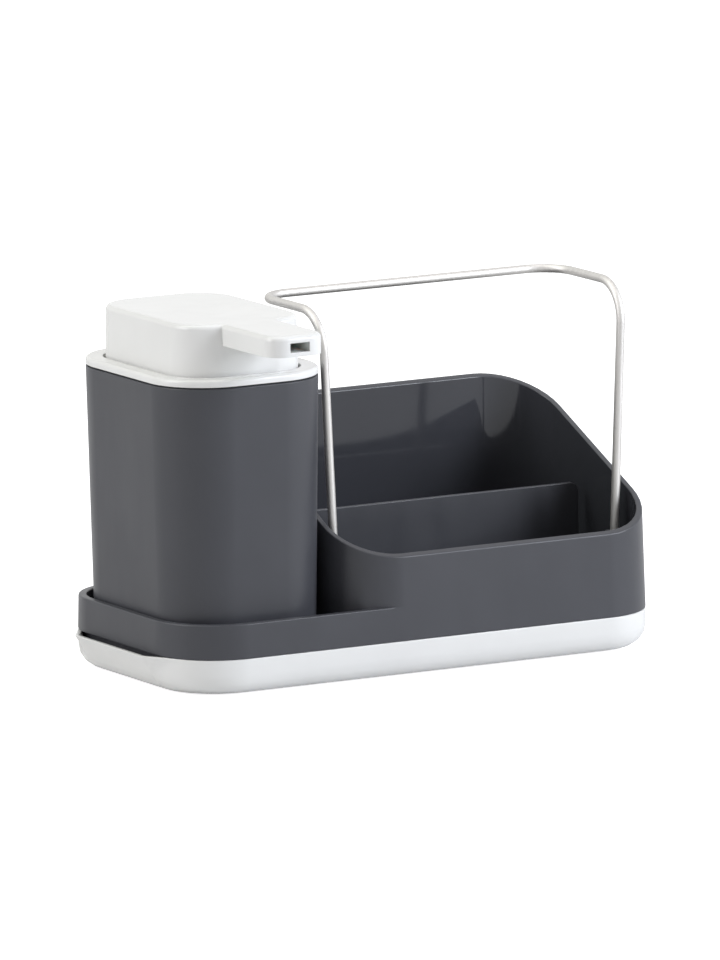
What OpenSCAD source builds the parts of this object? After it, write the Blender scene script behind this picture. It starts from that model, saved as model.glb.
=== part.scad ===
// Soap pump caddy. A drip tray carries the caddy, whose low wall rings a bay for the
// pump bottle and runs into a basket with a sloped rim, a divider and a wire towel bar.
// The origin lies on the counter under the middle of the caddy, with +X along the length
// towards the basket, +Y to the back and +Z up. Lengths are in millimetres.

/* [Caddy] */
// Length of the caddy over its bottom edge
caddy_l = 221.2; // [205:0.2:240]
// Width of the caddy over its bottom edge
caddy_w = 111.8; // [104:0.2:124]
// Corner radius of the caddy in plan
caddy_r = 28.2; // [24:0.2:32]
// Lean of the caddy walls from upright, in degrees
wall_lean = 1.55; // [0.5:0.05:2.2]
// Height of the low wall above the tray rim
guard_h = 14; // [10:0.5:20]
// Thickness of the low wall
guard_t = 3.2; // [2.6:0.1:3.8]
// Thickness of the caddy floor
floor_t = 2; // [1.6:0.1:2.6]
// Height of the underside of the floor above the tray rim
floor_up = 1.2; // [0.8:0.1:2]
// Thickness of the skirt that stands on the tray rim
skirt_t = 2; // [1.6:0.1:2.6]
// Depth of the ring that centres the caddy in the tray, below the tray rim
ring_h = 4; // [3:0.5:5]
// Thickness of that ring and of the ribs under the floor
ring_t = 1.6; // [1.2:0.1:2]
// Height of the ribs under the floor
rib_h = 4; // [2:0.5:4.5]
// Height of the ridges that centre the bottle on the floor
ridge_h = 2; // [1.5:0.5:4]
// Thickness of those ridges
ridge_t = 1.4; // [1:0.1:2]
// Length of those ridges
ridge_l = 20; // [12:1:22]

/* [Basket] */
// Thickness of the basket wall
basket_t = 2.5; // [1.8:0.1:3]
// Corner radius at the bottle end of the basket
basket_r = 25; // [18:0.5:28]
// Height of the basket rim at the front, above the tray rim
rim_front_h = 33.4; // [28:0.2:40]
// Slope of the basket rim, rising to the back, in degrees
rim_slope = 24.8; // [15:0.2:28]
// Gap between the bottle and the basket at the floor
basket_gap = 1.2; // [0.8:0.1:3]
// Radius between the basket floor and its walls
basket_foot_r = 3; // [1.5:0.5:4]

/* [Drain slots] */
// Width of a drain slot in the basket floor
slot_w = 3; // [2:0.5:4]
// Length of a drain slot in the basket floor
slot_l = 15; // [10:1:18]
// Number of drain slots in a row
slot_count = 5; // [3:1:5]
// Distance between neighbouring slots in a row
slot_step = 20; // [19:0.5:21]

/* [Drip tray] */
// Height of the drip tray
tray_h = 14.8; // [13.5:0.2:18]
// Wall and floor thickness of the drip tray
tray_t = 2; // [1.6:0.1:2.4]
// Radius between the tray wall and its flat underside
tray_foot_r = 8.5; // [7:0.5:10]
// How far the tray wall stands in under the caddy edge
tray_inset = 0.1; // [0:0.1:0.8]
// Reach of the pouring lip beyond the caddy end
lip_reach = 5.6; // [3:0.2:6]
// Angle at which the ends of the lip run back to the tray wall, in degrees
lip_angle = 33; // [25:1:38]

/* [Divider] */
// Thickness of the divider
divider_t = 2; // [1.6:0.1:2.6]
// Height of the divider above the basket floor
divider_h = 41.2; // [34:0.2:44]
// Distance of the divider behind the middle of the caddy
divider_y = 6; // [2:0.5:12]
// Gap between the free end of the divider and the basket wall
divider_end_gap = 4.6; // [2:0.1:8]
// Radius of the free top corner of the divider
divider_r = 4; // [2:0.5:8]
// Height of the guides that hold the divider
guide_h = 4; // [3:0.5:6]
// Thickness of a divider guide
guide_t = 1.4; // [1:0.1:2]
// Length of a divider guide along the floor
guide_l = 12; // [8:1:16]

/* [Towel bar] */
// Diameter of the wire
bar_d = 3.5; // [2.8:0.1:4.2]
// Height of the middle of the bar above the counter
bar_z = 144; // [136:0.5:156]
// Distance of each leg in from the outside of the basket end
bar_inset = 9; // [8:0.1:10]
// Distance of the legs in front of the middle of the caddy
leg_y = 26.5; // [22:0.5:27]
// Distance of the crossbar behind the middle of the caddy
crossbar_y = 27; // [20:0.5:34]
// Outward splay of the legs above their sockets, in degrees
leg_splay = 2.5; // [1:0.1:2.6]
// Radius of the bend from leg to side rail
bar_bend_r = 16; // [12:0.5:20]
// Radius of the bend from side rail to crossbar
bar_corner_r = 14; // [10:0.5:18]
// Height of a leg socket above the basket floor
socket_h = 26; // [24:1:36]
// Depth of the hole in a leg socket
socket_depth = 20; // [14:1:22]
// Outer diameter of a leg socket
socket_d = 7.6; // [6.8:0.1:8.4]

/* [Bottle] */
// Length of the bottle at its top
bottle_l = 72.4; // [66:0.2:78]
// Room between the foot of the bottle and each long wall of the bay
bay_side_gap = 6.4; // [3:0.1:12]
// Corner radius of the bottle at its top
bottle_r = 25; // [22:0.5:28]
// Height of the bottle up to its rim
bottle_h = 103.8; // [94:0.2:112]
// Lean of the bottle walls, wider at the top, in degrees
bottle_lean = 1.15; // [0.5:0.05:1.5]
// Wall thickness of the bottle
bottle_t = 2; // [1.6:0.1:2.4]
// Thickness of the bottle bottom
bottle_floor_t = 2.4; // [2:0.1:3]
// Radius around the bottom edge of the bottle
bottle_foot_r = 3; // [2:0.5:4]

/* [Lid] */
// Thickness of the lid flange
lid_t = 3; // [2.6:0.1:4]
// Radius on the top edge of the flange
lid_edge_r = 1.4; // [1:0.1:2]
// Width of the border between the flange edge and the pump head
lid_border = 8; // [7:0.2:8.8]
// Gap all round between the pump head and the well of the lid
head_gap = 1.1; // [0.8:0.1:1.4]
// Depth of the well under the top of the flange
well_depth = 14.4; // [14:0.2:17]
// Wall and floor thickness of the well
well_t = 1.6; // [1.4:0.1:1.8]
// Depth of the skirt that plugs the bottle mouth
skirt_depth = 7; // [5:0.5:9]
// Thickness of the plug skirt
plug_t = 1.5; // [1.2:0.1:1.6]
// Thickness of the gasket between bottle rim and lid
seal_t = 0.6; // [0.5:0.1:1]
// Setback of that gasket from the outside of the bottle
seal_inset = 0.8; // [0.5:0.1:1]

/* [Pump head] */
// Height of the pump head
head_h = 23; // [21:0.2:26]
// Depth of the head in the well at rest
head_sink = 2.4; // [1.5:0.1:2.6]
// Lean of the head walls, narrower at the top, in degrees
head_lean = 1.1; // [0.5:0.05:1.5]
// Radius on the top edges of head and spout
head_edge_r = 2; // [1.2:0.1:2.4]
// Wall thickness of the head and spout
head_t = 1.8; // [1.4:0.1:2]
// Reach of the spout from the pump axis
spout_reach = 80; // [70:0.5:86]
// Width of the spout
spout_w = 25; // [22:0.5:28]
// Thickness of the spout
spout_t = 8.4; // [8.2:0.1:9.5]
// Corner radius at the tip of the spout
spout_r = 7.7; // [5:0.1:9]
// Width of the outlet
outlet_w = 8.6; // [7:0.2:10]
// Height of the outlet
outlet_h = 3.7; // [3:0.1:4]
// Depth of the middle of the outlet under the top of the head
outlet_drop = 4.8; // [4.6:0.1:5]
// Wall thickness of the channel inside the spout
channel_t = 0.9; // [0.8:0.1:1]
// Thickness of the plate that closes the spout from below
plate_t = 1.2; // [1:0.1:1.4]
// Travel of the head when pressed
press_travel = 10.5; // [8:0.5:11]

/* [Pump] */
// Outer diameter of the pump cylinder
cylinder_d = 14; // [13.6:0.2:15]
// Bore of the pump cylinder
bore_d = 11.6; // [11.2:0.1:12]
// Length of the pump cylinder below its flange
cylinder_l = 52; // [48:1:58]
// Outer diameter of the threaded neck of the cylinder
neck_d = 18; // [17:0.2:19]
// Length of the neck
neck_l = 11; // [9:0.5:13]
// Diameter of the cylinder flange
flange_d = 26; // [24:0.5:28]
// Thickness of the cylinder flange
flange_t = 2; // [1.6:0.1:2.4]
// Thickness of the gasket under that flange
gasket_t = 1; // [0.8:0.1:1.4]
// Diameter of the lock nut
nut_d = 27; // [25:0.5:29]
// Height of the lock nut
nut_h = 6; // [5:0.5:7]
// Outer diameter of the stem
stem_d = 8; // [7.6:0.1:8.4]
// Bore of the stem
stem_bore = 4.4; // [4:0.1:4.6]
// Length of the stem
stem_l = 38; // [36:0.5:40]
// Diameter of the foot of the stem
foot_d = 9.4; // [9.2:0.1:9.8]
// Thickness of the foot of the stem
foot_t = 2; // [1.6:0.1:2.4]
// Height of the piston seal
piston_h = 7; // [6:0.5:8]
// Height of the collar of the stem guide above the flange
collar_h = 3; // [2:0.5:4]
// Diameter of the collar of the stem guide
collar_d = 21; // [19:0.5:23]
// Diameter of the valve balls
ball_d = 5; // [4.8:0.1:5.2]
// Outer diameter of the dip tube
tube_d = 7; // [6.6:0.1:7.2]
// Bore of the dip tube
tube_bore = 5; // [4.4:0.1:5.2]
// Clearance between the dip tube and the bottle bottom
tube_clear = 3.5; // [2:0.5:8]
// Length of the spigot that holds the dip tube
spigot_l = 10; // [8:0.5:12]
// Wall of the spigot
spigot_t = 1.3; // [1:0.1:1.6]
// Diameter of the hole under each valve ball
inlet_d = 3.2; // [2.8:0.1:3.6]
// Thickness of the seat under each valve ball
seat_t = 2; // [1.5:0.1:2.5]
// Lift of a valve ball
ball_lift = 1; // [0.8:0.1:1.2]
// Play all round a valve ball
ball_play = 0.4; // [0.3:0.05:0.5]
// Diameter of the boss that takes the stem
boss_d = 12; // [11.6:0.1:13]
// Height of the boss between the end of the stem and the channel
stop_t = 5; // [4:0.1:6]
// Number of grip notches in the lock nut
nut_notches = 12; // [8:1:16]
// Diameter of a grip notch
notch_d = 3; // [2:0.2:4]

/* [Spring] */
// Wire diameter of the return spring
spring_wire = 1; // [0.8:0.05:1.2]
// Outer diameter of the return spring
spring_d = 9.6; // [9.2:0.1:10.4]
// Number of curls of the return spring
spring_curls = 8; // [5:0.5:9]

/* [Fits] */
// Gap all round between caddy parts that lift out
loose_fit = 0.3; // [0.2:0.05:0.4]
// Gap between the bottle and the low wall at the end of the bay
bay_gap = 0.7; // [0.5:0.1:1.5]
// Radial clearance of parts that slide on each other
running_fit = 0.05; // [0.03:0.01:0.08]
// Radial clearance of parts that are pushed together for good
snug_fit = 0.02; // [0.01:0.01:0.03]

/* [Hidden] */

// Overrun of every cut past the face that it opens
over = 1;
// Steps of a corner in plan, and of a rounded edge
arc_steps = 10;
edge_steps = 4;
// Segments of round parts
$fn = 48;

// Heights of caddy and bottle, from the counter up
floor_under_z = tray_h + floor_up;
floor_z = floor_under_z + floor_t;
guard_z = tray_h + guard_h;
rim_front_z = tray_h + rim_front_h;
rim_rate = tan(rim_slope);
rim_top_z = rim_front_z + rim_rate * caddy_w;
bottle_z = floor_z + bottle_h;
lid_under_z = bottle_z + seal_t;
lid_mid_z = lid_under_z + lid_t / 2;
lid_z = lid_under_z + lid_t;
well_z = lid_z - well_depth;
head_under_z = lid_z - head_sink;
head_z = head_under_z + head_h;
ceiling_z = head_z - head_t;
spout_under_z = head_z - spout_t;
outlet_z = head_z - outlet_drop;

// Leans as rates, and places along the caddy at the height of the tray rim
lean_rate = tan(wall_lean);
bottle_rate = tan(bottle_lean);
head_rate = tan(head_lean);
guard_in = guard_t + lean_rate * guard_h;
bottle_guard_l = bottle_l - 2 * bottle_rate * (bottle_z - guard_z);
bottle_foot_l = bottle_l - 2 * bottle_rate * bottle_h;
bottle_foot_w = caddy_w - 2 * guard_t - 2 * bay_side_gap;
bottle_w = bottle_foot_w + 2 * bottle_rate * bottle_h;
bottle_x = guard_in + bay_gap + bottle_guard_l / 2 - caddy_l / 2;
basket_x0 = bottle_x + bottle_foot_l / 2 + basket_gap;
basket_x1 = caddy_l / 2;
basket_mid = (basket_x0 + basket_x1) / 2;
basket_half = (basket_x1 - basket_x0) / 2;

// Divider, between its guides on the wall and its free end
divider_z = floor_z + divider_h;
divider_rim_z = rim_front_z + rim_rate * (caddy_w / 2 + divider_y);
divider_x0 = basket_x0 + basket_t + lean_rate * (divider_rim_z - tray_h) + loose_fit;
divider_x1 = basket_x1 - basket_t - divider_end_gap;
guide_y = divider_t / 2 + loose_fit;

// Rows of drain slots, in the front, the back and beside the bottle
front_row_y = (divider_y - caddy_w / 2 + basket_t) / 2;
back_row_y = (divider_y + caddy_w / 2 - basket_t) / 2;
bay_row_y = (bottle_foot_w + caddy_w - 2 * guard_t) / 4;

// Towel bar, as half widths about the middle of the basket and heights
socket_x = basket_half - bar_inset;
socket_z = floor_z + socket_h;
bar_foot_z = socket_z - socket_depth;
elbow_z = socket_z + bar_d / 2;
leg_x0 = socket_x + bar_bend_r * (1 - cos(leg_splay));
leg_z0 = elbow_z + bar_bend_r * sin(leg_splay);
leg_z1 = bar_z - bar_bend_r * cos(leg_splay);
leg_l = (leg_z1 - leg_z0) / cos(leg_splay);
leg_x1 = leg_x0 + leg_l * sin(leg_splay);
rail_x = leg_x1 + bar_bend_r * sin(leg_splay);
rail_y0 = bar_bend_r - leg_y;
rail_y1 = crossbar_y - bar_corner_r;
bar_sides = 20;

// Pump, from the top down
flange_z = well_z + gasket_t;
flange_top_z = flange_z + flange_t;
collar_z = flange_top_z + collar_h;
boss_z = collar_z + press_travel + 2 * loose_fit;
stem_z = outlet_z - outlet_h / 2 - stop_t;
pocket_z = stem_z - ball_d - 2 * ball_lift;
stem_foot_z = stem_z - stem_l;
piston_z = stem_foot_z + foot_t;
sleeve_z = piston_z + piston_h + loose_fit;
barrel_z = flange_z - cylinder_l;
ledge_z = barrel_z + ball_d;
seat_z = ledge_z - ball_d - ball_lift;
tube_z = seat_z - seat_t;
tube_foot_z = floor_z + bottle_floor_t + tube_clear;
pocket_d = ball_d + 2 * ball_play;
ball_rise = sqrt(pow(ball_d / 2, 2) - pow(inlet_d / 2, 2));
spigot_d = tube_d + 2 * snug_fit + 2 * spigot_t;

// Spout, measured from the pump axis
head_front = bottle_w / 2 - lid_border - head_rate * (spout_under_z - lid_z);
spout_root = head_front - 2 * head_edge_r;
duct_w = outlet_w + 2 * channel_t;
duct_h = outlet_h + 2 * channel_t;
duct_l = spout_reach - head_t - running_fit;

// Return spring, as one helix between the ledge and the foot of the stem
rings_per_curl = 8;
tube_sides = 6;
spring_rings = rings_per_curl * spring_curls;
spring_r = (spring_d - spring_wire) / 2;
spring_rise = stem_foot_z - ledge_z - spring_wire;
spring_centres = [for (i = [0:spring_rings]) let (a = 360 * i / rings_per_curl)
    [spring_r * cos(a), spring_r * sin(a), ledge_z + spring_wire / 2 + spring_rise * i / spring_rings]];
spring_gap = min([for (i = [0:spring_rings], k = [i + rings_per_curl / 2:1:spring_rings])
    norm(spring_centres[k] - spring_centres[i])]) - spring_wire;
echo("Least gap of the return spring to itself, mm", spring_gap);

// Outline between two ends, counter-clockwise, with a corner radius at each end, inset all round by d
function outline(x0, x1, half_w, r0, r1, d) = [for (q = [0:3], i = [0:arc_steps])
    let (far = q == 1 || q == 2, r = far ? r0 : r1, a = 90 * (q + i / arc_steps))
    [(far ? x0 + r0 : x1 - r1) + (r - d) * cos(a), (q < 2 ? half_w - r : r - half_w) + (r - d) * sin(a)]];

// The same outline as a ring at a height
function ring(points, z) = [for (p = points) [p.x, p.y, z]];

// Plans of the main forms, inset by d
function bottle_plan(d) = outline(-bottle_l / 2, bottle_l / 2, bottle_w / 2, bottle_r, bottle_r, d);
function spout_plan(d) = outline(-spout_reach, -spout_root, spout_w / 2, spout_r, 2 * head_edge_r, d);

// Rings of the main forms at a height, with the lean of their walls, inset by d
function caddy_ring(z, d) =
    ring(outline(-basket_x1, basket_x1, caddy_w / 2, caddy_r, caddy_r, d + lean_rate * (z - tray_h)), z);
function basket_ring(z, d) =
    ring(outline(basket_x0, basket_x1, caddy_w / 2, basket_r, caddy_r, d + lean_rate * (z - tray_h)), z);
function bottle_ring(z, d) = ring(bottle_plan(d + bottle_rate * (bottle_z - z)), z);
function head_ring(z, d) = ring(bottle_plan(d + lid_border + head_rate * (z - lid_z)), z);

// Height and inset of each ring of a rounded bottom edge, and of a rounded top edge
function foot_edge(z, r) = [for (i = [0:edge_steps]) let (t = 90 * i / edge_steps)
    [z + r * (1 - cos(t)), r * (1 - sin(t))]];
function top_edge(z, r) = [for (i = [0:edge_steps]) let (t = 90 * i / edge_steps)
    [z - r * (1 - sin(t)), r * (1 - cos(t))]];

// Half the straight front of the lip, from which its ends run back to touch the corners of the tray
tray_r = caddy_r - tray_inset;
lip_touch = caddy_w / 2 - caddy_r + tray_r * sin(lip_angle);
lip_half = lip_touch - (lip_reach + tray_r * (1 - cos(lip_angle))) / tan(lip_angle);

// Spread of the lip at a height, starting low on the tray wall
lip_z = tray_h / 4;
lip_power_share = 1.5;
function lip_spread(z) = lip_reach * pow(max(0, z - lip_z) / (tray_h - lip_z), lip_power_share);

// Ring of the tray, inset by d behind the tray wall and by d_edge in its rounded edge
function tray_ring(z, d, d_edge) = let (
    end = basket_x1 - tray_inset - d - d_edge + lip_spread(z),
    half = lip_half - d * tan(lip_angle / 2),
    touch = lip_touch - (d + d_edge) * sin(lip_angle),
    points = outline(-basket_x1, basket_x1, caddy_w / 2, caddy_r, caddy_r, tray_inset + d + d_edge),
    full = [for (i = [0:len(points) - 1]) each i == 2 * arc_steps + 1
        ? [points[i], [-end, half], [-end, -half]] : [points[i]]])
    [for (p = full) [p.x > 0 || abs(p.y) > touch ? p.x
        : min(p.x, max(0, abs(p.y) - half) * tan(lip_angle) - end), p.y, z]];

// Ring of a round wire about a place, from two directions across it, with one edge towards the second
function round_ring(place, d, a, b, sides) = [for (k = [0:sides - 1]) let (t = 360 * (k + sides / 4) / sides)
    place + d / 2 * (cos(t) * a + sin(t) * b)];

// Rings of the towel bar from the foot of one leg to the crossbar, with directions across the wire
up = [sin(leg_splay), 0, cos(leg_splay)];
aside = [cos(leg_splay), 0, -sin(leg_splay)];
back = [0, 1, 0];
half_wire = [round_ring([socket_x, -leg_y, bar_foot_z], bar_d, [1, 0, 0], back, bar_sides),
    round_ring([socket_x, -leg_y, elbow_z], bar_d, [1, 0, 0], back, bar_sides),
    round_ring([leg_x0, -leg_y, leg_z0], bar_d, aside, back, bar_sides),
    for (i = [0:arc_steps]) let (t = 90 * i / arc_steps)
        round_ring([leg_x1, -leg_y, leg_z1] + bar_bend_r * (sin(t) * up + (1 - cos(t)) * back),
            bar_d, aside, cos(t) * back - sin(t) * up, bar_sides),
    for (i = [0:arc_steps]) let (t = 90 * i / arc_steps, out = [cos(t), sin(t), 0])
        round_ring([rail_x - bar_corner_r, rail_y1, bar_z] + bar_corner_r * out,
            bar_d, aside.x * out + [0, 0, aside.z], -up.x * out - [0, 0, up.z], bar_sides)];

// Solid between rings of equal length, listed from the bottom up
module loft(rings) {
    n = len(rings[0]);
    top = len(rings) - 1;
    polyhedron([for (r = rings) each r], [
        [for (i = [0:n - 1]) i],
        for (j = [0:top - 1], i = [0:n - 1]) let (a = j * n + i, b = j * n + (i + 1) % n)
            each [[a, a + n, b + n], [a, b + n, b]],
        [for (i = [n - 1:-1:0]) top * n + i]]);
}

// Places on the pump axis, and along the spout
module on_axis(z = 0) translate([bottle_x, 0, z]) children();
module along_spout() on_axis() rotate(90) children();

// Slot through the caddy floor, with round ends, along Y or turned by an angle
module slot(x, y, turn = 0) translate([x, y, floor_under_z - over]) rotate(turn)
    for (side = [-1, 1]) {
        translate([0, side * (slot_l - slot_w) / 2, 0]) cylinder(h = floor_t + 2 * over, d = slot_w);
        translate([-slot_w / 2, -(slot_l - slot_w) / 2, 0])
            cube([slot_w, slot_l - slot_w, floor_t + 2 * over]);
    }

module drain_slots() {
    for (i = [0:slot_count - 1], y = [front_row_y, back_row_y])
        slot(basket_mid + (i - (slot_count - 1) / 2) * slot_step, y);
    for (y = [-bay_row_y, bay_row_y]) slot(bottle_x + slot_step, y, 90);
}

// Ring and ribs under the floor, inside the tray rim
ring_in = tray_inset + tray_t + loose_fit;
module under_frame() {
    z0 = tray_h - ring_h;
    translate([0, 0, z0]) linear_extrude(floor_under_z + floor_t / 2 - z0) difference() {
        polygon(outline(-basket_x1, basket_x1, caddy_w / 2, caddy_r, caddy_r, ring_in));
        polygon(outline(-basket_x1, basket_x1, caddy_w / 2, caddy_r, caddy_r, ring_in + ring_t));
    }
    rib_l = caddy_l - 2 * ring_in - ring_t;
    rib_w = caddy_w - 2 * ring_in - ring_t;
    for (y = [-divider_y, divider_y])
        translate([-rib_l / 2, y - ring_t / 2, floor_under_z - rib_h]) cube([rib_l, ring_t, rib_h + floor_t / 2]);
    for (i = [-1.5, -0.5, 0.5, 1.5] * slot_step)
        translate([basket_mid + i - ring_t / 2, -rib_w / 2, floor_under_z - rib_h])
            cube([ring_t, rib_w, rib_h + floor_t / 2]);
}

// Sockets for the legs, each with a web to the basket wall
socket_wall_x = basket_half - lean_rate * (socket_z - tray_h);
module leg_sockets() translate([basket_mid, -leg_y, 0]) for (side = [0, 1]) mirror([side, 0, 0]) {
    translate([socket_x, 0, floor_z - floor_t / 2]) cylinder(h = socket_h + floor_t / 2, d = socket_d);
    translate([socket_x, -socket_d / 4, floor_z - floor_t / 2])
        cube([socket_wall_x - basket_t / 2 - socket_x, socket_d / 2, socket_h + floor_t / 2]);
}

module leg_bores() translate([basket_mid, -leg_y, 0]) for (side = [-1, 1])
    translate([side * socket_x, 0, bar_foot_z]) cylinder(h = socket_depth + over, d = bar_d + 2 * running_fit);

// Guides for the divider, two pairs on the floor and one up the wall
wall_guide_x = basket_x0 + (basket_t + lean_rate * (divider_z + floor_z - 2 * tray_h)) / 2;
module divider_guides() translate([0, divider_y, floor_z - floor_t / 2]) for (side = [0, 1]) mirror([0, side, 0]) {
    for (x = [-1.5, 1.5] * slot_step)
        translate([basket_mid + x - guide_l / 2, guide_y, 0]) cube([guide_l, guide_t, guide_h + floor_t / 2]);
    translate([wall_guide_x, guide_y, 0])
        cube([divider_x0 + guide_h - wall_guide_x, guide_t, divider_h - guide_h + floor_t / 2]);
}

// Ridges that centre the bottle on the floor of the bay
module bottle_ridges() for (side = [0, 1]) mirror([0, side, 0])
    translate([bottle_x - ridge_l / 2, bottle_foot_w / 2 + loose_fit, floor_z - floor_t / 2])
        cube([ridge_l, ridge_t, ridge_h + floor_t / 2]);

module drip_tray() color("#f1f1ee") difference() {
    loft([for (e = foot_edge(0, tray_foot_r)) tray_ring(e[0], 0, e[1]),
        tray_ring((tray_foot_r + tray_h) / 2, 0, 0), tray_ring(tray_h, 0, 0)]);
    loft([for (e = foot_edge(tray_t, tray_foot_r - tray_t)) tray_ring(e[0], tray_t, e[1]),
        tray_ring((tray_foot_r + tray_h) / 2, tray_t, 0), tray_ring(tray_h, tray_t, 0),
        tray_ring(tray_h, tray_t, 0) + [for (p = tray_ring(tray_h, 0, 0)) [0, 0, over]]]);
}

module caddy_body() color("#5b5f66") difference() {
    union() {
        difference() {
            union() {
                loft([caddy_ring(tray_h, 0), caddy_ring(guard_z, 0)]);
                loft([basket_ring(guard_z, 0), basket_ring(rim_top_z, 0)]);
            }
            // Rim of the basket, sloping up to the back
            translate([-caddy_l, -caddy_w / 2, rim_front_z]) rotate([rim_slope, 0, 0])
                translate([0, -caddy_w, 0]) cube([2 * caddy_l, 3 * caddy_w, rim_top_z]);
            // Bay for the bottle, up to the outside of the basket
            difference() {
                loft([caddy_ring(floor_z, guard_t), caddy_ring(guard_z + over, guard_t)]);
                loft([basket_ring(floor_z - over, 0), basket_ring(guard_z + 2 * over, 0)]);
            }
            // Inside of the basket
            loft([for (e = foot_edge(floor_z, basket_foot_r)) basket_ring(e[0], basket_t + e[1]),
                basket_ring(rim_top_z + over, basket_t)]);
            // Hollow under the floor, inside the skirt
            loft([caddy_ring(tray_h - over, skirt_t), caddy_ring(floor_under_z, skirt_t)]);
        }
        under_frame();
        leg_sockets();
        divider_guides();
        bottle_ridges();
    }
    leg_bores();
    drain_slots();
}

module divider() color("#5b5f66") translate([divider_x0, divider_y + divider_t / 2, floor_z])
    rotate([90, 0, 0]) linear_extrude(divider_t) {
        l = divider_x1 - divider_x0;
        translate([basket_foot_r, 0]) square([l - 2 * basket_foot_r, divider_h / 2]);
        translate([0, basket_foot_r]) square([l, divider_h - divider_r - basket_foot_r]);
        translate([0, divider_h / 2]) square([l - divider_r, divider_h / 2]);
        translate([l - divider_r, divider_h - divider_r]) circle(r = divider_r);
        for (x = [basket_foot_r, l - basket_foot_r]) translate([x, basket_foot_r]) circle(r = basket_foot_r);
    }

module towel_bar() color("#c9ccce") translate([basket_mid, 0, 0]) loft([each half_wire,
    for (i = [len(half_wire) - 1:-1:0]) [for (p = half_wire[i]) [-p.x, p.y, p.z]]]);

module bottle_shell() color("#5b5f66") on_axis() difference() {
    loft([for (e = foot_edge(floor_z, bottle_foot_r)) bottle_ring(e[0], e[1]), bottle_ring(bottle_z, 0)]);
    loft([for (e = foot_edge(floor_z + bottle_floor_t, bottle_foot_r)) bottle_ring(e[0], bottle_t + e[1]),
        bottle_ring(bottle_z + over, bottle_t)]);
}

module bottle_lid() color("#f1f1ee") on_axis() difference() {
    union() {
        loft([ring(bottle_plan(0), lid_under_z),
            for (e = top_edge(lid_z, lid_edge_r)) ring(bottle_plan(e[1]), e[0])]);
        translate([0, 0, well_z - well_t]) linear_extrude(lid_mid_z - well_z + well_t)
            polygon(bottle_plan(lid_border - head_gap - well_t));
        difference() {
            plug_d = bottle_t + loose_fit;
            loft([bottle_ring(bottle_z - skirt_depth, plug_d), bottle_ring(lid_mid_z, plug_d)]);
            loft([bottle_ring(bottle_z - skirt_depth - over, plug_d + plug_t),
                bottle_ring(lid_under_z, plug_d + plug_t)]);
        }
    }
    translate([0, 0, well_z]) linear_extrude(well_depth + over) polygon(bottle_plan(lid_border - head_gap));
    translate([0, 0, well_z - well_t - over]) cylinder(h = well_t + 2 * over, d = neck_d + 2 * running_fit);
}

module lid_seal() color("#3c3f42") on_axis(bottle_z) linear_extrude(seal_t) difference() {
    polygon(bottle_plan(seal_inset));
    polygon(bottle_plan(bottle_t));
}

module cylinder_gasket() color("#3c3f42") on_axis(well_z) difference() {
    cylinder(h = gasket_t, d = flange_d);
    translate([0, 0, -over]) cylinder(h = gasket_t + 2 * over, d = neck_d + 2 * snug_fit);
}

module pump_cylinder() color("#e6e7e4") on_axis() difference() {
    union() {
        translate([0, 0, flange_z]) cylinder(h = flange_t, d = flange_d);
        translate([0, 0, flange_z - neck_l]) cylinder(h = neck_l, d = neck_d);
        translate([0, 0, barrel_z]) cylinder(h = cylinder_l - neck_l, d = cylinder_d);
        translate([0, 0, tube_z - spigot_l]) cylinder(h = barrel_z - tube_z + spigot_l, d = spigot_d);
    }
    translate([0, 0, ledge_z]) cylinder(h = flange_top_z - ledge_z + over, d = bore_d);
    translate([0, 0, seat_z]) cylinder(h = ledge_z - seat_z + over, d = pocket_d);
    translate([0, 0, tube_z - over]) cylinder(h = seat_z - tube_z + 2 * over, d = inlet_d);
    translate([0, 0, tube_z - spigot_l - over]) cylinder(h = spigot_l + over, d = tube_d + 2 * snug_fit);
}

module lock_nut() color("#e6e7e4") on_axis(well_z - well_t - nut_h) difference() {
    cylinder(h = nut_h, d = nut_d);
    translate([0, 0, -over]) cylinder(h = nut_h + 2 * over, d = neck_d + 2 * snug_fit);
    for (i = [0:nut_notches - 1]) rotate(360 * i / nut_notches)
        translate([nut_d / 2, 0, -over]) cylinder(h = nut_h + 2 * over, d = notch_d);
}

module stem_guide() color("#f1f1ee") on_axis() difference() {
    union() {
        translate([0, 0, sleeve_z]) cylinder(h = flange_top_z - sleeve_z, d = bore_d - 2 * snug_fit);
        translate([0, 0, flange_top_z]) cylinder(h = collar_h, d = collar_d);
    }
    translate([0, 0, sleeve_z - over]) cylinder(h = collar_z - sleeve_z + 2 * over, d = stem_d + 2 * running_fit);
}

module inlet_ball() color("#b9bcbf") on_axis(seat_z + ball_rise) sphere(d = ball_d);

module outlet_ball() color("#b9bcbf") on_axis(pocket_z + ball_rise) sphere(d = ball_d);

module dip_tube() color("#dfe3e4") on_axis() difference() {
    translate([0, 0, tube_foot_z]) cylinder(h = tube_z - tube_foot_z, d = tube_d);
    translate([0, 0, tube_foot_z - over]) cylinder(h = tube_z - tube_foot_z + 2 * over, d = tube_bore);
    translate([-tube_d / 2, 0, tube_foot_z]) rotate([0, 45, 0])
        translate([0, -tube_d, -2 * tube_d]) cube([2 * tube_d, 2 * tube_d, 2 * tube_d]);
}

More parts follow.
